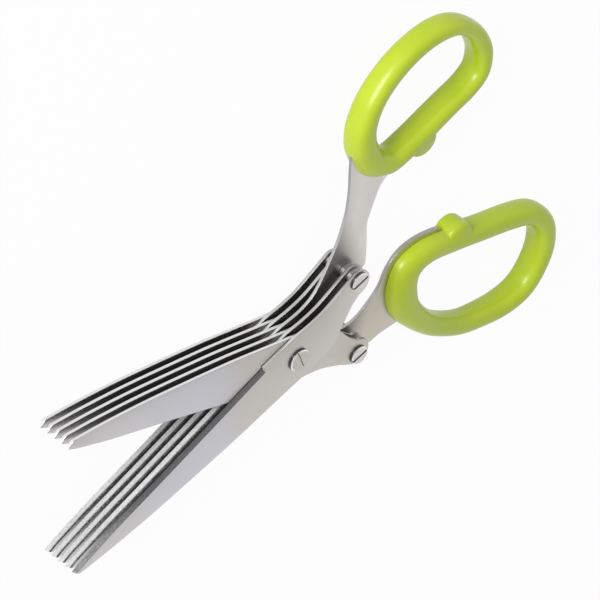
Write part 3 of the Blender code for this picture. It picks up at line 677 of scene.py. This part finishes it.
def add_barrel(label, centre, barrel_radius, bore, steel):
    """The barrel and its chamfered foot, bored from the front for the screw's shank."""
    low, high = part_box(label + "_post")
    foot_radius, shoulder = radius_of(label + "_post"), rear_face(label)
    bore_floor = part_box(label + "_screw")[0].z - EDGE_BREAK
    profile = [(0, bore_floor), (bore, bore_floor), (bore, high.z), (barrel_radius, high.z),
               (barrel_radius, shoulder), (foot_radius, shoulder),
               (foot_radius, low.z + FOOT_CHAMFER), (foot_radius - FOOT_CHAMFER, low.z), (0, low.z)]
    mesh = lathe_mesh(label + "_barrel", profile, centre)
    add_turned(label + "_barrel", label + "_post", mesh, [], steel)


def add_screw(label, centre, shank_radius, steel):
    """A cheese head with a chamfered rim and a milled slot, on a plain shank."""
    low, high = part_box(label + "_screw")
    head_radius, seat = radius_of(label + "_screw"), high.z - HEAD_HEIGHT
    profile = [(0, high.z), (head_radius - HEAD_CHAMFER, high.z), (head_radius, high.z - HEAD_CHAMFER),
               (head_radius, seat), (shank_radius, seat), (shank_radius, low.z), (0, low.z)]
    ends = np.array([(-head_radius - PAST, 0), (head_radius + PAST, 0)])
    side, floor_level, above = SLOT_WIDTH / 2, high.z - SLOT_DEPTH, high.z + PAST
    section = np.array([(-side, floor_level), (side, floor_level), (side, above), (-side, above)])
    path = centre + turned(ends, SLOT_TURN[label])
    slot = swept_mesh(label + "_slot", path, section, closed=False)
    mesh = lathe_mesh(label + "_slotted_screw", profile, centre)
    add_turned(label + "_slotted_screw", label + "_screw", mesh, [slot], steel)


def add_ring(name, node, centre, ring_radius, bore, steel):
    """A plain ring, as thick as its CAD node."""
    low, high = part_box(node)
    section = [(ring_radius, high.z), (ring_radius, low.z), (bore, low.z), (bore, high.z)]
    mesh = lathe_mesh(name, section, centre, ring=True)
    add_turned(name, node, mesh, [], steel)


def add_post(label, barrel_radius, rings):
    """Barrel, screw and the rings between the plates, all on one axis."""
    centre = centre_of(label + "_post")
    plain = turned_steel(label + "_barrel_steel", centre, BARREL_TONE, painted_wall_shade=0.50, roughness=0.26)
    bright = turned_steel(label + "_screw_steel", centre, SCREW_TONE[label], painted_wall_shade=0.12,
                          roughness=0.20)
    shank_radius = barrel_radius * SCREW_SHARE
    add_barrel(label, centre, barrel_radius, shank_radius + HOLE_GAP, plain)
    add_screw(label, centre, shank_radius, bright)
    for node in rings:
        name = node.replace("collar", "spacer").replace("washer", "shim")
        add_ring(name, node, centre, radius_of(rings[0]), barrel_radius + HOLE_GAP, plain)


add_post("pivot", BARREL_RADIUS["pivot"], [f"pivot_washer_{n}" for n in range(1, PLATE_COUNT)])
for half in HALF_TURN:
    tang_rings = [f"{half}_tang_collar_{n}" for n in range(1, PLATE_COUNT)]
    add_post(half + "_tang", BARREL_RADIUS["tang"], tang_rings)


# Loops
# Lime green plastic moulded over the end of each strap: a soft, slightly square section
# that swells where it takes the strap, with the soft gloss of a polished mould. A rounded
# stop nub stands on the side that faces the other loop.
LOOP_THICKNESS = 9.0 * MM
SQUARENESS = 2.4
LOOP_FRONT = {"finger": 45.8 * MM, "thumb": 46.4 * MM}
LOOP_LENGTH = {"finger": 59.0 * MM, "thumb": 46.1 * MM}
LOOP_WIDTH = {"finger": 34.1 * MM, "thumb": 33.2 * MM}
LOOP_BASE = {"finger": -17.1 * MM, "thumb": 32.4 * MM}
HALF_WALL = {"finger": 3.5 * MM, "thumb": 3.3 * MM}
NUB_SIDE = {"finger": 1, "thumb": -1}
NUB_TIP = {"finger": 23.4 * MM, "thumb": 25.6 * MM}
NUB_X = 63.8 * MM
NUB_RADIUS = 4.9 * MM
NUB_DEPTH = 4.3 * MM
NUB_HALF_HEIGHT = 4.0 * MM
NUB_FILLET = 0.7 * MM
NUB_SQUARENESS = 8
POCKET_GAP = 0.05 * MM
STATION_STEPS = 28
SECTION_STEPS = 72
TURN_SPREAD = 30                    # steps each way over which the offset is averaged
LOOP_CREASE = math.radians(40)      # edges sharper than this stay sharp
LIME_TONES = ((0.43, 0.56, 0.013, 1), (0.46, 0.58, 0.017, 1))
LIME_RANGE = (0.35, 0.65)           # of the flow's noise, from one lime tone to the other
LIME_ROUGHNESS = 0.38
FINE_ROUGHNESS = 0.06
FINE_SHARE = 0.05                   # of the moulding's waves, what is fine
# Stations: shares of the loop's length and width, of its half wall, and of half its thickness.
LOOP_STATION_SHARES = {
    "finger": [
        (0.000, 0.704, 1.66, 1.00), (0.044, 0.485, 1.46, 1.00), (0.142, 0.305, 1.15, 0.97),
        (0.302, 0.122, 0.98, 0.90), (0.492, 0.014, 0.99, 0.86), (0.648, 0.002, 0.96, 0.90),
        (0.816, 0.047, 1.01, 0.97), (0.938, 0.172, 0.98, 1.00), (0.999, 0.422, 1.04, 1.00),
        (0.995, 0.642, 1.08, 1.00), (0.946, 0.821, 1.05, 0.98), (0.844, 0.948, 1.02, 0.92),
        (0.698, 0.985, 1.05, 0.88), (0.498, 0.989, 1.01, 0.90), (0.295, 0.998, 1.04, 0.95),
        (0.127, 0.994, 1.19, 1.00), (0.019, 0.891, 1.59, 1.00)],
    "thumb": [
        (0.000, 0.408, 1.41, 1.00), (0.016, 0.212, 1.40, 1.00), (0.087, 0.082, 1.29, 1.00),
        (0.158, 0.014, 1.14, 1.00), (0.325, 0.000, 1.04, 1.00), (0.486, 0.009, 1.01, 1.00),
        (0.649, 0.018, 0.93, 1.00), (0.801, 0.022, 0.92, 1.00), (0.924, 0.086, 0.97, 1.00),
        (0.991, 0.254, 0.98, 0.98), (1.000, 0.430, 0.95, 0.95), (0.973, 0.617, 0.85, 0.93),
        (0.894, 0.812, 0.79, 0.93), (0.775, 0.932, 0.91, 0.93), (0.627, 0.996, 0.97, 0.92),
        (0.458, 0.999, 1.05, 0.92), (0.300, 0.946, 1.03, 0.94), (0.164, 0.845, 1.03, 0.97),
        (0.061, 0.690, 1.17, 1.00), (0.014, 0.542, 1.32, 1.00)]}


def raise_nub(points, middle, half):
    """Lifts the loop's side into a rounded nub, by a smooth maximum of the two surfaces.

    The nub is an ellipsoid squared off along the loop's thickness. Where it stands above
    the side, the side takes its height, with a fillet where they meet.
    """
    out = NUB_SIDE[half]
    x, side, z = (points[..., 0] - NUB_X) / NUB_RADIUS, out * points[..., 1], points[..., 2] - middle
    room = 1 - x ** 2 - np.abs(z / NUB_HALF_HEIGHT) ** NUB_SQUARENESS
    nub = out * NUB_TIP[half] - NUB_DEPTH + NUB_DEPTH * np.sign(room) * np.sqrt(np.abs(room))
    apart = np.clip(1 - np.abs(side - nub) / NUB_FILLET, 0, None)
    raised = np.maximum(side, nub) + NUB_FILLET / 4 * apart ** 2
    near = side > out * NUB_TIP[half] - NUB_DEPTH - HALF_WALL[half]
    points[..., 1] = np.where(near, out * raised, points[..., 1])


def loop_mesh(name, half, middle):
    """A superellipse carried round a closed centre line, with the nub raised on it.

    The line is walked in equal steps. Its offset is averaged over the steps nearby, so that
    a tight bend stays round on its inner side, and the outer side gets its full length back.
    """
    run = smooth(LOOP_STATION_SHARES[half], STATION_STEPS, closed=True)
    run[:, :2] *= (LOOP_LENGTH[half], LOOP_WIDTH[half])
    run[:, :2] += (LOOP_FRONT[half], LOOP_BASE[half])
    run = np.vstack([run, run[:1]])
    length = np.append(0, np.cumsum(np.linalg.norm(np.diff(run[:, :2], axis=0), axis=1)))
    even = np.linspace(0, length[-1], len(run) - 1, endpoint=False)
    x, y, wall_share, thickness_share = (np.interp(even, length, column) for column in run.T)
    line = np.stack([x, y], 1)
    ahead = np.roll(line, -1, 0) - np.roll(line, 1, 0)
    half_wall = (HALF_WALL[half] * wall_share)[:, None]
    outward = np.stack([ahead[:, 1], -ahead[:, 0]], 1)
    outward = half_wall * outward / np.linalg.norm(ahead, axis=1)[:, None]
    eased = sum(np.roll(outward, shift, 0) for shift in range(-TURN_SPREAD, TURN_SPREAD + 1))
    eased /= 2 * TURN_SPREAD + 1
    outward = half_wall * eased / np.linalg.norm(eased, axis=1)[:, None]
    angle = np.linspace(0, 2 * math.pi, SECTION_STEPS, endpoint=False)
    off, up = (np.sign(w) * np.abs(w) ** (2 / SQUARENESS) for w in (np.cos(angle), np.sin(angle)))
    points = np.empty((len(line), SECTION_STEPS, 3))
    reach = np.where(off[None, :, None] < 0, eased[:, None], outward[:, None])
    points[..., :2] = line[:, None] + reach * off[None, :, None]
    points[..., 2] = middle + LOOP_THICKNESS / 2 * thickness_share[:, None] * up
    raise_nub(points, middle, half)
    faces = grid_faces(len(line), SECTION_STEPS, wrap_rows=True, wrap_columns=True)
    return closed_mesh(name, turned(points, HALF_TURN[half]), faces)


def lime_plastic():
    """Soft gloss polypropylene: one clear lime green, with a moulding's faint waviness."""
    finish = Finish(bpy.data.materials.new("lime_plastic"))
    place = finish.node("TexCoord", None, None, "Object")
    flow = finish.node("TexNoise", None, {"Vector": place, "Scale": 60.0, "Detail": 2.0})
    fine = finish.node("TexNoise", None, {"Vector": place, "Scale": 2500.0, "Detail": 2.0})
    green = finish.mix(flow.between(*LIME_RANGE), *LIME_TONES)
    waves = {"Height": flow + FINE_SHARE * fine, "Strength": 0.10, "Distance": 0.3 * MM}
    finish.feed("Principled BSDF", {
        "Base Color": green, "Roughness": LIME_ROUGHNESS + FINE_ROUGHNESS * fine,
        "Specular IOR Level": 0.3, "Coat Weight": 0.5, "Coat Roughness": 0.26,
        "Normal": finish.node("Bump", None, waves, "Normal")})
    return finish


lime = lime_plastic()
gap_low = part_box(f"finger_blade_{LONG_PLATE}")[1].z
gap_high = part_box(f"thumb_blade_{LONG_PLATE}")[0].z
for half in HALF_TURN:
    blank = loop_mesh(half + "_moulded_loop", half, (gap_low + gap_high) / 2)
    strap_low, strap_high = (corner.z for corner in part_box(f"{half}_blade_{LONG_PLATE}"))
    section = np.array([(-POCKET_GAP, strap_low - POCKET_GAP), (-POCKET_GAP, strap_high + POCKET_GAP)])
    pocket = swept_mesh(half + "_strap_pocket", plate_outline(half, LONG_PLATE), section, closed=True)
    loop = cut(half + "_moulded_loop", blank, [pocket])
    loop.data.set_sharp_from_angle(angle=LOOP_CREASE)
    fit(loop, half + "_loop", lime)
